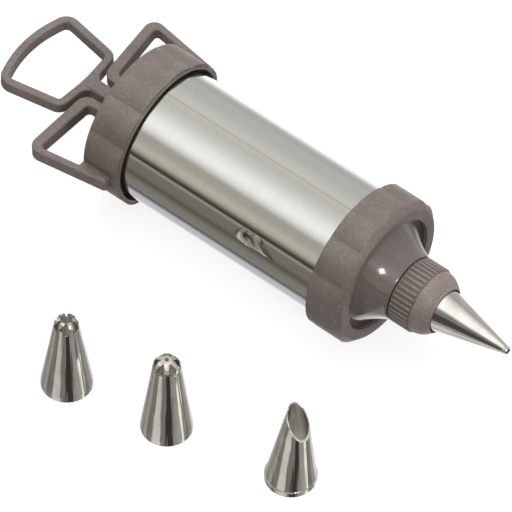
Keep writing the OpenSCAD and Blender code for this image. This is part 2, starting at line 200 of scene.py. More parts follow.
# Arc from p to q as (x, y) points: hollow with side 1 and swelling with side -1; wall widens its radius
def arcBetween(p, q, radius, side, wall=0.0, steps=24):
    p, q = Vector(p), Vector(q)
    chord = q - p
    left = Vector((-chord.y, chord.x)).normalized() * side
    middle = (p + q) / 2 + left * math.sqrt(radius ** 2 - chord.length_squared / 4)
    first, turn = sweepBetween(p - middle, q - middle)
    return [(middle.x + (radius + wall) * math.cos(first + turn * k / steps),
             middle.y + (radius + wall) * math.sin(first + turn * k / steps)) for k in range(steps + 1)]


# A corner of an outline, with the directions to its two neighbours
def cornerAt(corners, i):
    here = Vector(corners[i][:2])
    toBefore = (Vector(corners[i - 1][:2]) - here).normalized()
    toAfter = (Vector(corners[(i + 1) % len(corners)][:2]) - here).normalized()
    return here, toBefore, toAfter


arcs = {"longest": 0.9, "fewest": 8}  # a rounded corner's pieces: longest in mm, and fewest


# Closed outline through (x, y, radius) corners, each of them rounded
def roundPath(corners):
    points = []
    for i, (x, y, radius) in enumerate(corners):
        if radius <= 0:
            points.append(Vector((x, y)))
            continue
        here, toBefore, toAfter = cornerAt(corners, i)
        half = math.acos(max(-1.0, min(1.0, toBefore.dot(toAfter)))) / 2
        middle = here + (toBefore + toAfter).normalized() * radius / math.sin(half)
        start = here + toBefore * radius / math.tan(half) - middle
        end = here + toAfter * radius / math.tan(half) - middle
        first, turn = sweepBetween(start, end)
        pieces = max(arcs["fewest"], int(abs(turn) * radius / arcs["longest"]))
        for k in range(pieces + 1):
            angle = first + turn * k / pieces
            points.append(middle + Vector((math.cos(angle), math.sin(angle))) * radius)
    return points


# Corners of an outline that runs amount inside another one
def insetCorners(corners, amount):
    moved = []
    for i, corner in enumerate(corners):
        here, toBefore, toAfter = cornerAt(corners, i)
        half = math.acos(toBefore.dot(toAfter)) / 2
        at = here + (toBefore + toAfter).normalized() * amount / math.sin(half)
        moved.append((at.x, at.y, corner[2] - amount))
    return moved


# Closed outline moved to the left of its own direction
def pushed(points, amount):
    moved = []
    for before, here, after in zip(points[-1:] + points[:-1], points, points[1:] + points[:1]):
        came, goes = (here - before).normalized(), (after - here).normalized()
        left, nextLeft = Vector((-came.y, came.x)), Vector((-goes.y, goes.x))
        side = (left + nextLeft).normalized()
        moved.append(here + side * amount / max(0.5, side.dot(left)))
    return moved


# The outline without points that all but meet, turned anticlockwise
def cleanOutline(points, nearest=0.02):
    kept = [points[0]]
    for point in points[1:]:
        if (point - kept[-1]).length > nearest:
            kept.append(point)
    if (kept[0] - kept[-1]).length < nearest:
        kept.pop()
    area = sum(a.x * b.y - b.x * a.y for a, b in zip(kept, kept[1:] + kept[:1])) / 2
    return kept if area > 0 else kept[::-1]


# Flat bar work: the first outline is the outside, the others are holes, and
# section is (draw-in, height) from the underside to the top face
def barWork(outlines, section, place):
    bm = bmesh.new()
    columns = []
    for number, outline in enumerate(outlines):
        path = cleanOutline(outline)
        column = []
        for drawIn, height in section:
            shifted = pushed(path, drawIn if number == 0 else -drawIn)
            column.append([bm.verts.new(place(point.x, point.y, height)) for point in shifted])
        for low, high in zip(column, column[1:]):
            bridge(bm, low, high)
        columns.append(column)
    for end in (0, -1):
        edges = []
        for column in columns:
            ring = column[end]
            edges += [bm.edges.get(pair) for pair in zip(ring, ring[1:] + ring[:1])]
        bmesh.ops.triangle_fill(bm, use_beauty=True, use_dissolve=False, edges=edges)
    return toMesh(bm, "barWork")


# Angle from straight up towards -Y in radians, and the minus Y it comes from, of a place or a direction
def angleFromTop(tree, parts):
    minusY = addNode(tree, "ShaderNodeMath", {0: parts.outputs["Y"], 1: -1.0}, operation="MULTIPLY")
    angle = addNode(tree, "ShaderNodeMath", {0: minusY.outputs[0], 1: parts.outputs["Z"]},
                    operation="ARCTAN2")
    return angle.outputs[0], minusY.outputs[0]


# X, Y and Z of a surface point, counted from the centre given
def partsFrom(tree, coords, centre):
    moved = addNode(tree, "ShaderNodeVectorMath", {0: coords, 1: centre}, operation="SUBTRACT")
    return addNode(tree, "ShaderNodeSeparateXYZ", {0: moved.outputs[0]})


# Materials
def taupePlastic(name, base, shade, dark, rough, grain, coat=0.0, paintedRibShade=None):
    # Moulded polypropylene, grey brown: faint flow blotches and a fine spark-eroded grain, which is drawn
    # coarser than the real one so that it shows
    material, tree, shader, coords = newMaterial(name)
    _, flow = blotches(tree, coords, 9, (0.15, 0.85), detail=4)
    tone = addNode(tree, "ShaderNodeMix", {"Factor": flow, 6: colour(base), 7: colour(shade)},
                   data_type="RGBA")
    _, speck = blotches(tree, coords, 0.7, (0.0, 0.6))
    fleck = addNode(tree, "ShaderNodeMix", {"Factor": speck, 6: tone.outputs[2], 7: colour(dark)},
                    data_type="RGBA")
    shown = fleck.outputs[2]
    if paintedRibShade:
        # painted shade: the plastic in the valleys between the ribs is darkened as if it lay in shade
        parts = partsFrom(tree, coords, (0, axisY, axisZ))
        flat = addNode(tree, "ShaderNodeCombineXYZ", {"Y": parts.outputs["Y"], "Z": parts.outputs["Z"]})
        radius = addNode(tree, "ShaderNodeVectorMath", {0: flat.outputs[0]}, operation="LENGTH")
        low = addNode(tree, "ShaderNodeMapRange",
                      {"Value": radius.outputs["Value"], "From Min": (paintedRibShade["root"] + paintedRibShade["full"]) * mm,
                       "From Max": (paintedRibShade["root"] + paintedRibShade["gone"]) * mm, "To Min": paintedRibShade["depth"],
                       "To Max": 0.0})
        along = addNode(tree, "ShaderNodeMath",
                        {0: parts.outputs["X"], 1: capBackX + (paintedRibShade["x0"] + paintedRibShade["x1"]) / 2 * mm,
                         2: (paintedRibShade["x1"] - paintedRibShade["x0"]) / 2 * mm}, operation="COMPARE")
        share = addNode(tree, "ShaderNodeMath", {0: low.outputs[0], 1: along.outputs[0]},
                        operation="MULTIPLY")
        shaded = addNode(tree, "ShaderNodeMix",
                         {"Factor": share.outputs[0], 6: shown, 7: colour(paintedRibShade["colour"])},
                         data_type="RGBA")
        shown = shaded.outputs[2]
    _, roughness = blotches(tree, coords, 5, rough)
    grit = blotches(tree, coords, 0.28, detail=2, rough=0.6)[0]
    bump = addNode(tree, "ShaderNodeBump", {"Height": grit, "Strength": grain, "Distance": 0.05 * mm})
    plug(tree, shader, {"Base Color": shown, "Roughness": roughness, "Normal": bump.outputs["Normal"],
                        "Coat Weight": coat, "Coat Roughness": 0.08})
    return material


satinTaupe = taupePlastic("SatinTaupePlastic", "#837873", "#716763", "#4C423E", rough=(0.38, 0.52),
                          grain=1.0)
glossTaupe = taupePlastic("GlossTaupePlastic", "#716764", "#675E5B", "#574D4A", rough=(0.12, 0.18),
                          grain=0.08, coat=0.6)


def rolledSteel():
    # Rolled stainless sheet: polished round the tube, so streaks run across it, drawn wider than real ones
    # so that they show; a fine seam runs along it near the top
    streaks = {"wide": 0.6, "pull": 0.0016, "light": "#CFCFCC", "dark": "#C9C9C4", "rough": (0.015, 0.06)}
    seam = {"turn": 3.4, "dark": 0.004, "faded": 0.024, "share": 0.25, "colour": "#8F8072"}
    material, tree, shader, coords = newMaterial("RolledStainlessSteel")
    parts = partsFrom(tree, coords, (0, axisY, axisZ))
    angle, _ = angleFromTop(tree, parts)
    slow = addNode(tree, "ShaderNodeMath", {0: angle, 1: streaks["pull"]}, operation="MULTIPLY")
    stretched = addNode(tree, "ShaderNodeCombineXYZ", {"X": parts.outputs["X"], "Y": slow.outputs[0]})
    streak, tone, roughness = blotches(tree, stretched.outputs[0], streaks["wide"], (0.0, 1.0),
                                       streaks["rough"], detail=4, rough=0.65)
    tint = addNode(tree, "ShaderNodeMix",
                   {"Factor": tone, 6: colour(streaks["light"]), 7: colour(streaks["dark"])},
                   data_type="RGBA")
    off = addNode(tree, "ShaderNodeMath", {0: angle, 1: math.radians(seam["turn"])}, operation="SUBTRACT")
    gap = addNode(tree, "ShaderNodeMath", {0: off.outputs[0]}, operation="ABSOLUTE")
    near = addNode(tree, "ShaderNodeMapRange",
                   {"Value": gap.outputs[0], "From Min": seam["dark"], "From Max": seam["faded"],
                    "To Min": seam["share"], "To Max": 0.0})
    seamed = addNode(tree, "ShaderNodeMix",
                     {"Factor": near.outputs[0], 6: tint.outputs[2], 7: colour(seam["colour"])},
                     data_type="RGBA")
    bump = addNode(tree, "ShaderNodeBump", {"Height": streak, "Strength": 0.08, "Distance": 0.01 * mm})
    plug(tree, shader, {"Base Color": seamed.outputs[2], "Metallic": 1.0, "Roughness": roughness,
                        "Normal": bump.outputs["Normal"]})
    return material


def drawnSteel(name, centre, upright, flatDepth, roughness):
    # Nozzle sheet, drawn and buffed: mirror bright, with shallow flats running from base to tip
    buffed = {"light": "#CDCBC5", "dark": "#BFBAB0", "flats": 2.6, "shorten": 9.0}
    # the inside's colour is painted shade for the hollow; its roughness is the dull drawn finish
    dullInsideWithPaintedShade = {"colour": "#A39C91", "rough": 0.3, "clear": 0.02}
    material, tree, shader, coords = newMaterial(name)
    parts = partsFrom(tree, coords, centre)
    across, up = ("X", "Z") if upright else ("Z", "X")
    turn = addNode(tree, "ShaderNodeMath", {0: parts.outputs["Y"], 1: parts.outputs[across]},
                   operation="ARCTAN2")
    lift = addNode(tree, "ShaderNodeMath", {0: parts.outputs[up], 1: buffed["shorten"]},
                   operation="MULTIPLY")
    cosine = addNode(tree, "ShaderNodeMath", {0: turn.outputs[0]}, operation="COSINE")
    sine = addNode(tree, "ShaderNodeMath", {0: turn.outputs[0]}, operation="SINE")
    wrap = addNode(tree, "ShaderNodeCombineXYZ",
                   {"X": cosine.outputs[0], "Y": sine.outputs[0], "Z": lift.outputs[0]})
    flats = addNode(tree, "ShaderNodeTexNoise",
                    {"Vector": wrap.outputs[0], "Scale": buffed["flats"], "Detail": 2.0, "Roughness": 0.5})
    _, tone, outerRough = blotches(tree, coords, 6, (0.0, 1.0), (roughness / 2, roughness))
    tint = addNode(tree, "ShaderNodeMix",
                   {"Factor": tone, 6: colour(buffed["light"]), 7: colour(buffed["dark"])},
                   data_type="RGBA")
    # the inside, which faces the axis by more than clear mm, is left as drawn and dull, and its colour is
    # painted darker as painted shade in the hollow
    outward = addNode(tree, "ShaderNodeCombineXYZ", {across: parts.outputs[across], "Y": parts.outputs["Y"]})
    face = addNode(tree, "ShaderNodeNewGeometry")
    facing = addNode(tree, "ShaderNodeVectorMath", {0: face.outputs["True Normal"], 1: outward.outputs[0]},
                     operation="DOT_PRODUCT")
    inside = addNode(tree, "ShaderNodeMath", {0: facing.outputs["Value"], 1: -dullInsideWithPaintedShade["clear"] * mm},
                     operation="LESS_THAN")
    paintedInsideShade = addNode(tree, "ShaderNodeMix",
                   {"Factor": inside.outputs[0], 6: tint.outputs[2], 7: colour(dullInsideWithPaintedShade["colour"])},
                   data_type="RGBA")
    dull = addNode(tree, "ShaderNodeMath", {0: inside.outputs[0], 1: dullInsideWithPaintedShade["rough"], 2: outerRough},
                   operation="MULTIPLY_ADD")
    bump = addNode(tree, "ShaderNodeBump",
                   {"Height": flats.outputs["Fac"], "Strength": flatDepth, "Distance": 1.0 * mm})
    plug(tree, shader, {"Base Color": paintedInsideShade.outputs[2], "Metallic": 1.0, "Roughness": dull.outputs[0],
                        "Normal": bump.outputs["Normal"]})
    return material


def whiteSilicone():
    # Translucent white silicone, matt, a little dusty
    material, tree, shader, coords = newMaterial("WhiteSilicone")
    dust, tone, roughness = blotches(tree, coords, 3, (0.0, 1.0), (0.5, 0.62))
    milky = addNode(tree, "ShaderNodeMix", {"Factor": tone, 6: colour("#E6E4DF"), 7: colour("#D8D5CE")},
                    data_type="RGBA")
    bump = addNode(tree, "ShaderNodeBump", {"Height": dust, "Strength": 0.2, "Distance": 0.05 * mm})
    plug(tree, shader, {"Base Color": milky.outputs[2], "Roughness": roughness,
                        "Normal": bump.outputs["Normal"]})
    return material


steelSheet = rolledSteel()
silicone = whiteSilicone()
print("materials made")

# Barrel
tube = {"x0": tubeStart, "x1": (tubeHigh.x - capBackX) / mm, "outer": 24.7, "wall": 0.6, "edge": 0.2,
        "rows": 12}
outer, inner, edge = tube["outer"], tube["outer"] - tube["wall"], tube["edge"]
straight = tube["x1"] - tube["x0"] - 2 * edge
tubeProfile = [(tube["x0"], inner + edge), (tube["x0"], outer - edge)]
tubeProfile += [(tube["x0"] + edge + straight * k / tube["rows"], outer) for k in range(tube["rows"])]
tubeProfile += [(tube["x1"] - edge, outer), (tube["x1"], outer - edge), (tube["x1"], inner + edge),
                (tube["x1"] - edge, inner), (tube["x0"] + edge, inner)]
finishPiece(spun(tubeProfile, 360), "BarrelTube", steelSheet, "barrel", ["barrel_tube"])

# Rear cap and front collar, both with twelve shallow lobes that meet in slightly softened notches
lobes = {"count": 12, "crown": 28.0, "dip": 1.1, "soften": 0.04, "softWidth": 0.06, "softFrom": 0.985,
         "clear": 1.5, "steps": 480}
crown = lobes["crown"]
passed = crown + lobes["clear"]  # a profile goes out to here where only the lobes are to shape it
halfLobe = math.pi / lobes["count"]
notch = crown - lobes["dip"]
lobeOff = (crown ** 2 - notch ** 2) / (2 * (crown - notch * math.cos(halfLobe)))
lobeRadius = crown - lobeOff


def lobedRadius(angle):
    # crowns sit half a lobe away from the vertical
    local = (angle % (2 * halfLobe)) - halfLobe
    toNotch = halfLobe * lobes["softFrom"] - abs(local)
    soft = lobes["soften"] * max(0.0, 1 - toNotch / lobes["softWidth"]) ** 2
    return lobeOff * math.cos(local) + math.sqrt(lobeRadius ** 2 - (lobeOff * math.sin(local)) ** 2) + soft


def softMin(a, b, width):
    share = max(width - abs(a - b), 0.0) / width
    return min(a, b) - share * share * width / 4


# The outside profile is cut back to the lobes, softly over a blend in mm; the inside stays round
def lobedShell(outside, inside, blend):
    profile = outside + inside

    def reach(i, angle):
        radius = profile[i][1]
        return softMin(radius, lobedRadius(angle), blend) if i < len(outside) else radius
    return spun(profile, lobes["steps"], reach)


# The cap's lip is a shallow step at its open end, its boss guides the rod, and its profile stops just
# short of the axis, where the rod's slot is cut
cap = {"length": 15.9, "bore": 25.9, "end": 3.0, "lipDeep": 0.55, "lipWide": 0.5, "bossRadius": 6.5,
       "bossEnd": 6.0, "edge": 0.3, "pole": 0.01, "blend": 0.35, "slotWide": 5.8, "slotTall": 5.2}
lipX, lipRadius = cap["length"] - cap["lipDeep"], cap["bore"] + cap["lipWide"]
edge = cap["edge"]
outside = [(0.0, 6.0), (0.0, 14.0), (0.0, 22.0), (0.0, crown - 2.0), (0.18, crown - 1.35),
           (0.6, crown - 0.75), (1.2, crown - 0.3), (2.0, crown + 0.1), (3.0, crown + 1.0)]
outside += [(3.0 + 1.2 * k, passed) for k in range(1, 10)]
outside += [(lipX - 0.25, passed), (lipX, crown + 0.05)]
inside = [(lipX, lipRadius + 0.2), (cap["length"] - 0.12, lipRadius), (cap["length"], lipRadius - 0.15),
          (cap["length"], cap["bore"] + 0.1), (cap["length"] - 0.15, cap["bore"]),
          (cap["end"] + edge, cap["bore"]), (cap["end"], cap["bore"] - edge),
          (cap["end"], cap["bossRadius"] + edge), (cap["end"] + edge, cap["bossRadius"]),
          (cap["bossEnd"] - 0.2, cap["bossRadius"]), (cap["bossEnd"], cap["bossRadius"] - edge),
          (cap["bossEnd"], cap["pole"]), (0.0, cap["pole"])]


# Takes a box, corners in mm on the syringe (x, y, height), out of a mesh
def cutBox(mesh, low, high):
    bm = bmesh.new()
    bmesh.ops.create_cube(bm, size=1.0)
    for vertex in bm.verts:
        vertex.co = inPlane(*[least + (most - least) * (part + 0.5)
                              for least, most, part in zip(low, high, vertex.co)])
    bmesh.ops.recalc_face_normals(bm, faces=bm.faces)
    target = addObject("cutTarget", mesh)
    cutter = addObject("cutter", toMesh(bm, "cutter"))
    boolean = target.modifiers.new("cut", "BOOLEAN")
    boolean.operation, boolean.solver, boolean.object = "DIFFERENCE", "EXACT", cutter
    made = bakedMesh(target)
    bpy.data.objects.remove(cutter)
    return made


capMesh = cutBox(lobedShell(outside, inside, cap["blend"]), (-1, -cap["slotWide"] / 2, -cap["slotTall"] / 2),
                 (cap["bossEnd"] + 1, cap["slotWide"] / 2, cap["slotTall"] / 2))
finishPiece(capMesh, "RearCapShell", satinTaupe, "cap", ["rear_cap"], smoothAngle=30)


# Section of the bars of the loops and of the thumb ring: round on top, with a thin flange along the underside
def barSection(deep, rounding, flange=0.12, steps=6):
    low, high = -deep / 2, deep / 2
    rows = [(0.25, low), (0.05, low + 0.15), (0.0, low + 0.35), (0.0, low + 0.8), (flange, low + 0.95)]
    for k in range(steps + 1):
        angle = math.radians(90 * k / steps)
        rows.append((flange + rounding * (1 - math.cos(angle)), high - rounding + rounding * math.sin(angle)))
    return rows


loop = {"reach": 19.3, "halfWide": 34.4, "sweep": 2.0, "bar": 3.1, "rearBar": 4.5, "deep": 5.0, "legGap": 4.4,
        "leg": 3.8, "corner": 4.2, "legCorner": 4.6, "innerCorner": 1.2, "endCorner": 1.1, "webCorner": 0.4,
        "rootCorner": 1.6, "endX": 12.4, "endOut": 30.3, "rootX": 2.9, "webX": 0.3, "webSink": 0.55,
        "tilt": 4.5, "round": 0.8}


# The loops are turned a few degrees round the syringe, the left one up and the right one down
def inLoopPlane(x, y, height):
    sine, cosine = math.sin(math.radians(loop["tilt"])), math.cos(math.radians(loop["tilt"]))
    return inPlane(x, y * cosine - height * sine, y * sine + height * cosine)


# The tip is an arc round (middleX, middleY), and the outer bar leaves it as a tangent to the loop's end
def fingerLoop(side):
    x0 = -loop["reach"]
    legX = x0 + loop["sweep"]
    middleX, middleY = x0 + loop["corner"], loop["halfWide"] - loop["corner"]
    toEnd = Vector((loop["endX"], loop["endOut"])) - Vector((middleX, middleY))
    lean = math.atan2(toEnd.y, toEnd.x) + math.acos(loop["corner"] / toEnd.length)
    drop = math.cos(lean) / math.sin(lean)
    tipY = middleY + loop["corner"] * (1 + math.cos(lean)) / math.sin(lean)
    webY = notch - loop["webSink"]
    innerY = loop["legGap"] + loop["leg"]
    webOut = loop["endOut"] + loop["endX"] * drop - loop["bar"]
    backOut = tipY - loop["bar"] - loop["rearBar"] * drop
    corners = [(loop["rootX"], loop["legGap"], 0), (legX, loop["legGap"], loop["legCorner"]),
               (x0, tipY, loop["corner"]), (loop["endX"], loop["endOut"], loop["endCorner"]),
               (loop["endX"], webY, 0), (loop["webX"], webY, 0), (loop["webX"], webOut, loop["webCorner"]),
               (x0 + loop["rearBar"], backOut, loop["innerCorner"]),
               (legX + loop["rearBar"], innerY, loop["rootCorner"]), (loop["rootX"], innerY, 0)]
    outline = roundPath([(x, y * side, radius) for x, y, radius in corners])
    return barWork([outline], barSection(loop["deep"], loop["round"]), inLoopPlane)


for side, name in ((1, "FingerLoopLeft"), (-1, "FingerLoopRight")):
    finishPiece(fingerLoop(side), name, satinTaupe, "cap", ["rear_cap"])
print("barrel, rear cap and finger loops made")

# Plunger
ring = {"length": 30.6, "halfWide": 19.8, "footHalf": 15.2, "bar": 3.4, "deep": 4.3, "crown": 44.0,
        "crownLean": 16.5, "shoulder": 5.5, "foot": 4.6, "bow": 60.0, "neckFillet": 4.0, "neckHalf": 2.5,
        "footX": -19.2, "bulge": 1.2, "round": 0.8, "neckLength": 12.0}
ringEnd = ring["footX"] + ring["bulge"]
ringStart = ringEnd - ring["length"]
lean = math.radians(ring["crownLean"])
peakX = ringStart - ring["crown"] * (1 / math.cos(lean) - 1)
shoulderX = peakX + ring["halfWide"] * math.tan(lean)


def bothSides(half, middle=()):
    return list(half) + list(middle) + [(x, -y, radius) for x, y, radius in reversed(half)]


ringPeak = [(peakX, 0, ring["crown"])]
ringSide = [(shoulderX, ring["halfWide"], ring["shoulder"]), (ring["footX"], ring["footHalf"], ring["foot"])]
neck = [(ringEnd, ring["neckHalf"], ring["neckFillet"]), (ringEnd + ring["neckLength"], ring["neckHalf"], 0)]
ringOuter = roundPath(ringPeak + bothSides(ringSide + neck))
ringInner = roundPath(insetCorners(ringPeak + bothSides(ringSide, [(ringEnd, 0, ring["bow"])]), ring["bar"]))
ringMesh = barWork([ringOuter, ringInner], barSection(ring["deep"], ring["round"]), inPlane)
finishPiece(ringMesh, "ThumbRing", satinTaupe, "plunger", ["plunger"])

# The rod starts inside the ring's foot, a little slimmer, and ends at the piston
rod = {"wide": 5.4, "tall": 4.8, "edge": 0.5, "taper": 0.3, "x0": ringEnd - 1.7,
       "x1": backOf("piston_back_disc")}
halfWide, halfTall = rod["wide"] / 2, rod["tall"] / 2
rodQuarter = [(halfWide - rod["edge"], halfTall), (halfWide, halfTall - rod["edge"])]
rodRight = rodQuarter + [(y, -z) for y, z in reversed(rodQuarter)]
rodShape = rodRight + [(-y, z) for y, z in reversed(rodRight)]
bm = bmesh.new()
rodRings = []
for x, slim in ((rod["x0"], rod["taper"]), (rod["x0"] + rod["taper"], 0.0), (rod["x1"], 0.0)):
    rodRings.append([bm.verts.new(inPlane(x, y * (1 - slim / halfWide), z * (1 - slim / halfTall)))
                     for y, z in rodShape])
for low, high in zip(rodRings, rodRings[1:]):
    bridge(bm, low, high)
bm.faces.new(rodRings[0])
bm.faces.new(rodRings[-1][::-1])
finishPiece(toMesh(bm, "rod"), "PlungerRod", satinTaupe, "plunger", ["plunger"])
for nodeName, material in (("piston_back_disc", satinTaupe), ("piston_front_disc", satinTaupe),
                           ("piston_seal", silicone), ("funnel_gasket", silicone)):
    dress(nodeName, material)
print("plunger made")

# Front collar, funnel and nozzle nut
collar = {"x0": backOf("front_collar"), "length": 14.5, "bore": 25.9, "lip": 2.0, "open": 21.5, "bevel": 2.6,
          "blend": 0.5, "rows": 8}
collarBack, collarFront = collar["x0"], collar["x0"] + collar["length"]
bevelX, bevelRadius = collarFront - collar["bevel"], crown - collar["bevel"]
lipX = collarFront - collar["lip"]
outside = [(collarBack, crown - 1.2), (collarBack + 0.12, crown - 0.75), (collarBack + 0.4, crown - 0.3),
           (collarBack + 0.9, crown + 0.3)]
outside += [(collarBack + 1.2 + (collar["length"] - 4.2) * k / collar["rows"], passed)
            for k in range(collar["rows"] + 1)]
outside += [(bevelX - 0.1, crown + 0.2), (bevelX + 0.35, crown - 0.3),
            (collarFront - collar["bevel"] / 2, crown - collar["bevel"] / 2),
            (collarFront - 0.4, bevelRadius + 0.35), (collarFront - 0.12, bevelRadius + 0.1),
            (collarFront, bevelRadius - 0.2)]
inside = [(collarFront, collar["open"] + 0.4), (collarFront - 0.12, collar["open"] + 0.12),
          (collarFront - 0.4, collar["open"]), (lipX + 0.2, collar["open"]), (lipX, collar["open"] + 0.2),
          (lipX, collar["bore"] - 0.2), (lipX - 0.2, collar["bore"]), (collarBack + 0.3, collar["bore"]),
          (collarBack, collar["bore"] + 0.3)]
finishPiece(lobedShell(outside, inside, collar["blend"]), "FrontCollar", satinTaupe, "collar",
            ["front_collar"], smoothAngle=30)

# The funnel's flange lies under the collar's lip, its trumpet runs down to the nut, and its nose holds
# the nozzle's base
funnel = {"trumpet": 20.4, "sweep": 23.0, "wall": 1.6, "flange": 24.75, "flangeThick": 1.8, "nose": 10.4,
          "pilot": 8.55, "pilotDeep": 1.8, "bore": 6.95, "gap": 0.2, "edge": 0.15, "play": 0.1}
nut = {"x0": backOf("nozzle_nut"), "radius": 12.5, "knurl": 8.9, "dome": 6.4, "mouth": 8.3, "rib": 0.45,
       "ribs": 40, "lip": 0.9, "bow": 7.0, "bore": 10.5, "base": 9.3, "baseThick": 2.0}
nozzleX = backOf("round_nozzle")
flangeFront = lipX - funnel["play"]
flangeBack = flangeFront - funnel["flangeThick"]
shoulder = nut["x0"] - funnel["gap"]
seatX = nozzleX - funnel["gap"]
edge = funnel["edge"]
trumpetEnds = (flangeFront, funnel["trumpet"]), (shoulder, nut["radius"])
outArc = arcBetween(*trumpetEnds, funnel["sweep"], 1)
inArc = arcBetween(*trumpetEnds, funnel["sweep"], 1, funnel["wall"])
funnelProfile = [(flangeBack, inArc[0][1]), (flangeBack, funnel["flange"] - edge),
                 (flangeBack + edge, funnel["flange"]), (flangeFront - edge, funnel["flange"]),
                 (flangeFront, funnel["flange"] - edge), (flangeFront, funnel["trumpet"] + 0.25)]
funnelProfile += outArc[1:-1]
pilotEnd = nozzleX + funnel["pilotDeep"]
funnelProfile += [(shoulder - 0.2, outArc[-1][1]), (shoulder, nut["radius"] - 0.2),
                  (shoulder, funnel["nose"]), (seatX, funnel["nose"]), (seatX, funnel["pilot"]),
                  (pilotEnd, funnel["pilot"]), (pilotEnd, funnel["bore"]),
                  (shoulder + funnel["wall"], funnel["bore"])]
funnelProfile += inArc[:0:-1]
finishPiece(spun(funnelProfile, 256), "Funnel", glossTaupe, "funnel", ["funnel"])

# The nut: a ribbed grip, then a dome with a rounded lip at its mouth
gripBack, gripFront = nut["x0"], nut["x0"] + nut["knurl"]
mouthX = gripFront + nut["dome"]
domeEnd = (mouthX - nut["lip"], nut["mouth"] + nut["lip"])
root = nut["radius"] - nut["rib"]
nutProfile = [(gripBack, nut["bore"] + 0.2), (gripBack, root - 0.3), (gripBack + 0.3, root),
              (gripBack + 2.5, root), (gripFront - 2.5, root), (gripFront - 0.1, root),
              (gripFront, root - 0.08)]
nutProfile += arcBetween((gripFront + 0.05, root - nut["rib"] / 2), domeEnd, nut["bow"], -1, steps=14)
nutProfile += arcBetween(domeEnd, (mouthX, nut["mouth"]), nut["lip"], -1, steps=6)[1:]
nutProfile += [(nozzleX + nut["baseThick"], nut["base"]), (seatX, nut["base"]), (seatX, nut["bore"]),
               (gripBack + 0.2, nut["bore"])]
# The nut's plastic is the cap's taupe painted lighter, as painted light on the dome, with painted shade in
# the valleys between its ribs
nutPaintedLightAndShade = taupePlastic("RibbedTaupePaintedLightAndShade", "#968A85", "#857974", "#62554F", rough=(0.36, 0.48), grain=0.6,
                        paintedRibShade={"x0": gripBack, "x1": gripFront, "root": root, "full": 0.02, "gone": 0.35,
                                 "depth": 0.5, "colour": "#2B2523"})
finishPiece(spun(nutProfile, 240), "NozzleNut", nutPaintedLightAndShade, "nut", ["nozzle_nut"])


def ribTree(ribMaterial):
    # One rib, set round the nut's axis as often as Count says
    tree = bpy.data.node_groups.new("NutRibs", "GeometryNodeTree")
    for label, kind in (("Geometry", "NodeSocketGeometry"), ("Count", "NodeSocketInt"),
                        ("Centre", "NodeSocketVector")):
        tree.interface.new_socket(label, in_out="INPUT", socket_type=kind)
    tree.interface.new_socket("Geometry", in_out="OUTPUT", socket_type="NodeSocketGeometry")
    given = addNode(tree, "NodeGroupInput").outputs
    points = addNode(tree, "GeometryNodePoints", {"Count": given["Count"], "Position": given["Centre"]})
    index = addNode(tree, "GeometryNodeInputIndex")
    step = addNode(tree, "ShaderNodeMath", {0: 2 * math.pi, 1: given["Count"]}, operation="DIVIDE")
    turn = addNode(tree, "ShaderNodeMath", {0: index.outputs[0], 1: step.outputs[0]}, operation="MULTIPLY")
    about = addNode(tree, "ShaderNodeCombineXYZ", {"X": turn.outputs[0]})
    placed = addNode(tree, "GeometryNodeInstanceOnPoints",
                     {"Points": points.outputs[0], "Instance": given["Geometry"],
                      "Rotation": about.outputs[0]})
    real = addNode(tree, "GeometryNodeRealizeInstances", {0: placed.outputs[0]})
    dressed = addNode(tree, "GeometryNodeSetMaterial", {"Geometry": real.outputs[0], "Material": ribMaterial})
    addNode(tree, "NodeGroupOutput", {"Geometry": dressed.outputs[0]})
    return tree


def inputNamed(tree, label):
    return next(item.identifier for item in tree.interface.items_tree
                if item.name == label and item.in_out == "INPUT")


# A rib has a rounded crown and sloped ends, and reaches just below the nut's surface
rib = {"fill": 0.52, "sink": 0.15, "slope": ((0.25, -0.1), (0.45, 0.25), (0.8, nut["rib"])),
       "across": ((-1.0, -0.2), (-0.92, 0.25), (-0.6, 0.85), (0.0, 1.0), (0.6, 0.85), (0.92, 0.25),
                  (1.0, -0.2))}


def oneRib():
    halfRib = math.pi / nut["ribs"] * rib["fill"]
    back = [(gripBack + inward, rise) for inward, rise in rib["slope"]]
    front = [(gripFront - inward, rise) for inward, rise in reversed(rib["slope"])]
    bm = bmesh.new()
    rows = []
    for x, rise in back + front:
        row = []
        for share, height in rib["across"]:
            radius = root + min(rise, nut["rib"] * height) if height > 0 else root - rib["sink"]
            angle = halfRib * share
            row.append(bm.verts.new((capBackX + x * mm, -radius * mm * math.sin(angle),
                                     radius * mm * math.cos(angle))))
        rows.append(row)
    for low, high in zip(rows, rows[1:]):
        bridge(bm, low, high)
    bm.faces.new(rows[0][::-1])
    bm.faces.new(rows[-1])
    bmesh.ops.recalc_face_normals(bm, faces=bm.faces)
    return toMesh(bm, "rib")


ribObject = addObject("rib", oneRib())
ribs = ribObject.modifiers.new("ribs", "NODES")
ribs.node_group = ribTree(nutPaintedLightAndShade)
ribs[inputNamed(ribs.node_group, "Count")] = nut["ribs"]
ribs[inputNamed(ribs.node_group, "Centre")] = (0.0, axisY, axisZ)
bpy.context.view_layer.update()
finishPiece(bakedMesh(ribObject), "NutRibs", nutPaintedLightAndShade, "nut", ["nozzle_nut"])
print("collar, funnel and nut made")

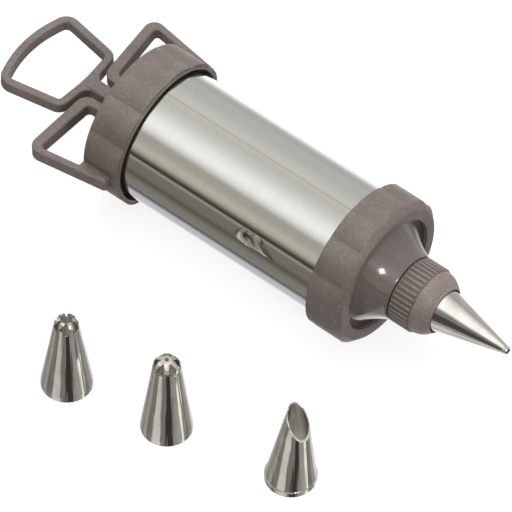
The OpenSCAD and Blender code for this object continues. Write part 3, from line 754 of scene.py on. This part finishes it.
# Nozzles: the fitted one is spun here, and the three that stand on the table are the CAD's own
sheet = {"base": 9.1, "wall": 0.45, "land": 2.0, "taper": 0.15, "round": 33.8, "tip": 1.25, "outlet": 2.0,
         "baseEdge": 0.12, "tipEdge": 0.08, "rows": 16}
seat = sheet["base"] - sheet["wall"]
landX, landRadius = nozzleX + sheet["land"], sheet["base"] - sheet["taper"]
tipX, tip, bore = nozzleX + sheet["round"], sheet["tip"], sheet["tip"] - sheet["wall"]
polishedRound = drawnSteel("PolishedSteelRound", (0, axisY, axisZ), False, 0.1, 0.06)
roundProfile = [(nozzleX, seat + sheet["baseEdge"]), (nozzleX, sheet["base"] - sheet["baseEdge"]),
                (nozzleX + sheet["baseEdge"], sheet["base"])]
for k in range(sheet["rows"]):
    share = k / sheet["rows"]
    roundProfile.append((landX + (tipX - landX) * share, landRadius + (tip - landRadius) * share))
edge = sheet["tipEdge"]
roundProfile += [(tipX - edge, tip), (tipX, tip - edge), (tipX, bore + edge), (tipX - edge, bore),
                 (tipX - sheet["outlet"], bore), (landX, seat)]
finishPiece(spun(roundProfile, 160), "RoundNozzle", polishedRound, "nozzle", ["round_nozzle"])

for nodeName, body in (("star_nozzle", "star"), ("rosette_nozzle", "rosette"), ("leaf_nozzle", "leaf")):
    low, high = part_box(nodeName)
    centre = ((low.x + high.x) / 2, (low.y + high.y) / 2, 0.0)
    dress(nodeName, drawnSteel("PolishedSteel_" + body, centre, True, 0.3, 0.14))
for nodeName in ("piston_washer", "piston_screw"):
    dress(nodeName, polishedRound)
for nodeName in ("barrel_rear_ring", "barrel_front_ring"):
    dress(nodeName, satinTaupe)
print("nozzles made")


# Floor, light and camera
def paleTable():
    # Pale matt table: white to the camera, a soft grey in the light it sends back, and clear in reflections
    look = {"grey": 0.28, "glow": 0.8}
    material = bpy.data.materials.new("PaleTable")
    material.use_nodes = True
    tree = material.node_tree
    tree.nodes.clear()
    path = addNode(tree, "ShaderNodeLightPath")
    matt = addNode(tree, "ShaderNodeBsdfDiffuse", {"Color": (look["grey"], look["grey"], look["grey"], 1)})
    lit = addNode(tree, "ShaderNodeMath", {0: path.outputs["Is Camera Ray"], 1: look["glow"]},
                  operation="MULTIPLY")
    glow = addNode(tree, "ShaderNodeEmission", {"Color": (1, 1, 1, 1), "Strength": lit.outputs[0]})
    seen = addNode(tree, "ShaderNodeAddShader", {0: matt.outputs[0], 1: glow.outputs[0]})
    clear = addNode(tree, "ShaderNodeBsdfTransparent")
    mixed = addNode(tree, "ShaderNodeMixShader",
                    {0: path.outputs["Is Glossy Ray"], 1: seen.outputs[0], 2: clear.outputs[0]})
    addNode(tree, "ShaderNodeOutputMaterial", {"Surface": mixed.outputs[0]})
    return material


bm = bmesh.new()
bmesh.ops.create_circle(bm, cap_ends=True, segments=96, radius=4.0)
floor = addObject("Floor", toMesh(bm, "floor"))
floor.data.materials.append(paleTable())

view = {"azimuth": 38.2, "elevation": 52.0, "distance": 3.0636, "lookX": 72.38, "lookY": -22.0, "roll": 0.8,
        "sensor": 36.0, "focalPixels": 9000, "widthPixels": 512}

# The studio round the syringe, as its polished steel shows it: degrees from straight up towards -Y, light,
# and how blue it is
studio = [(-180, 0.7, 1.12), (-168, 0.92, 1.08), (-118, 1.5, 1.03), (-107, 1.35, 1.02), (-101, 0.95, 1.015),
          (-94, 0.68, 1.0), (-86, 0.61, 0.99), (-75, 0.7, 0.985), (-55, 0.72, 0.97), (-33, 0.88, 0.955),
          (-13, 0.79, 0.945), (3, 0.96, 0.98), (18, 1.26, 1.0), (29, 1.38, 1.01), (35, 1.32, 1.01),
          (42, 1.08, 0.99), (46.5, 0.79, 0.94), (50.5, 0.57, 0.88), (60, 0.58, 0.84), (72, 0.74, 0.84),
          (79, 0.63, 0.82), (87, 0.13, 0.79), (91, 0.04, 0.8), (94.5, 0.5, 0.83), (99, 0.26, 0.81),
          (114, 0.25, 0.8), (122, 0.15, 0.77), (134, 0.3, 0.85), (150, 0.32, 0.93), (156, 0.15, 0.97),
          (166, 0.75, 1.08), (180, 0.7, 1.12)]
# The table's surroundings as the standing nozzles show them: degrees from the camera, and light
table = [(-180, 0.7), (-140, 0.5), (-118, 0.3), (-98, 0.55), (-84, 0.2), (-74, 0.42), (-52, 0.36),
         (-38, 0.55), (-31, 0.5), (-26, 0.25), (-8, 0.3), (-1, 0.3), (2, 0.05), (24, 0.06), (28, 0.4),
         (58, 0.55), (64, 0.8), (68, 1.5), (77, 1.5), (82, 0.4), (96, 0.25), (112, 0.5), (130, 0.3),
         (150, 0.6), (180, 0.7)]
# The studio for the fitted round nozzle, whose cone tips the reflections forward: the same degrees, and light
cone = [(-180, 1.3), (-166, 1.4), (-150, 1.1), (-133, 0.85), (-115, 0.75), (-70, 0.66), (-58, 0.56),
        (-50, 0.68), (-44, 0.9), (-28, 1.25), (-4, 1.66), (27, 1.7), (33, 1.3), (40, 0.6), (46, 0.3),
        (60, 0.36), (67, 0.16), (73, 0.1), (92, 0.1), (101, 0.14), (112, 0.3), (124, 0.7), (131, 0.95),
        (140, 1.0), (150, 0.85), (158, 0.7), (168, 0.9), (180, 1.3)]
tints = {"table": (0.985, 0.955), "cone": (1.0, 1.0)}  # green and blue against red
strongest = 2.0  # a ramp's colours end at 1, so they hold the light divided by this
# Where in the light's direction each blend starts, and where it is full
blends = {"below": ("Z", -0.2, -0.32), "forward": ("X", -0.32, -0.26), "aside": ("X", 0.2, 0.13),
          "upper": ("Z", -0.34, -0.22), "under": ("Z", -0.46, -0.56)}
tubeMirror = {"x": -0.381, "starts": 0.08, "full": 0.16}  # the tube's own reflections come from this X


# Light by angle, all the way round, from rows of degrees, light, green and blue
def lightRound(tree, angle, rows):
    share = addNode(tree, "ShaderNodeMapRange", {"Value": angle, "From Min": -math.pi, "From Max": math.pi})
    bands = addNode(tree, "ShaderNodeValToRGB", {"Fac": share.outputs[0]})
    stops = bands.color_ramp.elements
    for k, (degrees, light, green, blue) in enumerate(rows):
        place = (degrees + 180) / 360
        stop = stops[k] if k < 2 else stops.new(place)
        stop.position = place
        red = light / strongest
        stop.color = (red, red * green, red * blue, 1)
    return bands.outputs["Color"]


def studioWorld():
    world = bpy.data.worlds.new("Studio")
    world.use_nodes = True
    tree = world.node_tree
    tree.nodes.clear()
    direction = addNode(tree, "ShaderNodeTexCoord")
    parts = addNode(tree, "ShaderNodeSeparateXYZ", {0: direction.outputs["Generated"]})
    angle, minusY = angleFromTop(tree, parts)
    blend = {}
    for name, (axis, start, full) in blends.items():
        blend[name] = addNode(tree, "ShaderNodeMapRange", {"Value": parts.outputs[axis], "From Min": start,
                                                           "From Max": full}).outputs[0]
    # below the horizon, away from the tube's own reflections, the light changes with the compass direction
    compass = addNode(tree, "ShaderNodeMath", {0: parts.outputs["X"], 1: minusY}, operation="ARCTAN2")
    fromCamera = addNode(tree, "ShaderNodeMath", {0: compass.outputs[0], 1: math.radians(view["azimuth"])},
                         operation="SUBTRACT")
    wrapped = addNode(tree, "ShaderNodeMath", {0: fromCamera.outputs[0], 1: math.pi, 2: -math.pi},
                      operation="WRAP")
    tubeSide = addNode(tree, "ShaderNodeMath", {0: parts.outputs["X"], 1: -tubeMirror["x"]}, operation="ADD")
    offTube = addNode(tree, "ShaderNodeMath", {0: tubeSide.outputs[0]}, operation="ABSOLUTE")
    away = addNode(tree, "ShaderNodeMapRange",
                   {"Value": offTube.outputs[0], "From Min": tubeMirror["starts"],
                    "From Max": tubeMirror["full"]})
    tableShare = addNode(tree, "ShaderNodeMath", {0: blend["below"], 1: away.outputs[0]},
                         operation="MULTIPLY")
    # green lies a third of the way from red to blue
    roundTube = lightRound(tree, angle, [(degrees, light, min(1 - (1 - blue) / 3, 1.01), blue)
                                         for degrees, light, blue in studio])
    overTable = lightRound(tree, wrapped.outputs[0], [row + tints["table"] for row in table])
    surround = addNode(tree, "ShaderNodeMix", {"Factor": tableShare.outputs[0], 6: roundTube, 7: overTable},
                       data_type="RGBA")
    level = addNode(tree, "ShaderNodeMath", {0: blend["upper"], 1: blend["under"]}, operation="MAXIMUM")
    middle = addNode(tree, "ShaderNodeMath", {0: blend["forward"], 1: blend["aside"]},
                     operation="MULTIPLY")
    coneShare = addNode(tree, "ShaderNodeMath", {0: level.outputs[0], 1: middle.outputs[0]},
                        operation="MULTIPLY")
    overCone = lightRound(tree, angle, [row + tints["cone"] for row in cone])
    shown = addNode(tree, "ShaderNodeMix",
                    {"Factor": coneShare.outputs[0], 6: surround.outputs[2], 7: overCone}, data_type="RGBA")
    around = addNode(tree, "ShaderNodeBackground", {"Color": shown.outputs[2], "Strength": strongest})
    white = addNode(tree, "ShaderNodeBackground", {"Color": (1, 1, 1, 1)})
    path = addNode(tree, "ShaderNodeLightPath")
    both = addNode(tree, "ShaderNodeMixShader",
                   {0: path.outputs["Is Camera Ray"], 1: around.outputs[0], 2: white.outputs[0]})
    addNode(tree, "ShaderNodeOutputWorld", {"Surface": both.outputs[0]})
    return world


bpy.context.scene.world = studioWorld()

# A large box overhead, and a smaller one in front that lights the nut's dome and glints in the funnel
lamps = {"Softbox": {"energy": 6.5, "size": 0.8, "at": (-0.45, 0.5, 1.1), "aim": (0, 0, 0),
                     "glints": False},
         "FrontBox": {"energy": 3.2, "size": 0.2, "at": (1.0, -0.45, 0.8), "aim": (0.05, 0, 0),
                      "glints": True}}
for name, lamp in lamps.items():
    light = bpy.data.lights.new(name, "AREA")
    light.energy, light.size = lamp["energy"], lamp["size"]
    holder = addObject(name, light)
    holder.location = lamp["at"]
    holder.rotation_euler = (Vector(lamp["aim"]) - holder.location).to_track_quat("-Z", "Y").to_euler()
    holder.visible_glossy = lamp["glints"]

camera = bpy.data.cameras.new("Camera")
camera.sensor_width = view["sensor"]
camera.lens = view["focalPixels"] * view["sensor"] / view["widthPixels"]
camera.clip_start, camera.clip_end = 0.1, 30
azimuth, elevation = math.radians(view["azimuth"]), math.radians(view["elevation"])
back = Vector((math.sin(azimuth) * math.cos(elevation), -math.cos(azimuth) * math.cos(elevation),
               math.sin(elevation)))
cameraObject = addObject("Camera", camera)
cameraObject.location = inPlane(view["lookX"], view["lookY"], 0) + back * view["distance"]
cameraObject.rotation_mode = "QUATERNION"
level = (-back).to_track_quat("-Z", "Y")
cameraObject.rotation_quaternion = level @ Quaternion((0, 0, 1), math.radians(view["roll"]))
bpy.context.scene.camera = cameraObject
bpy.context.scene.view_settings.view_transform = "Standard"

print("scene ready")
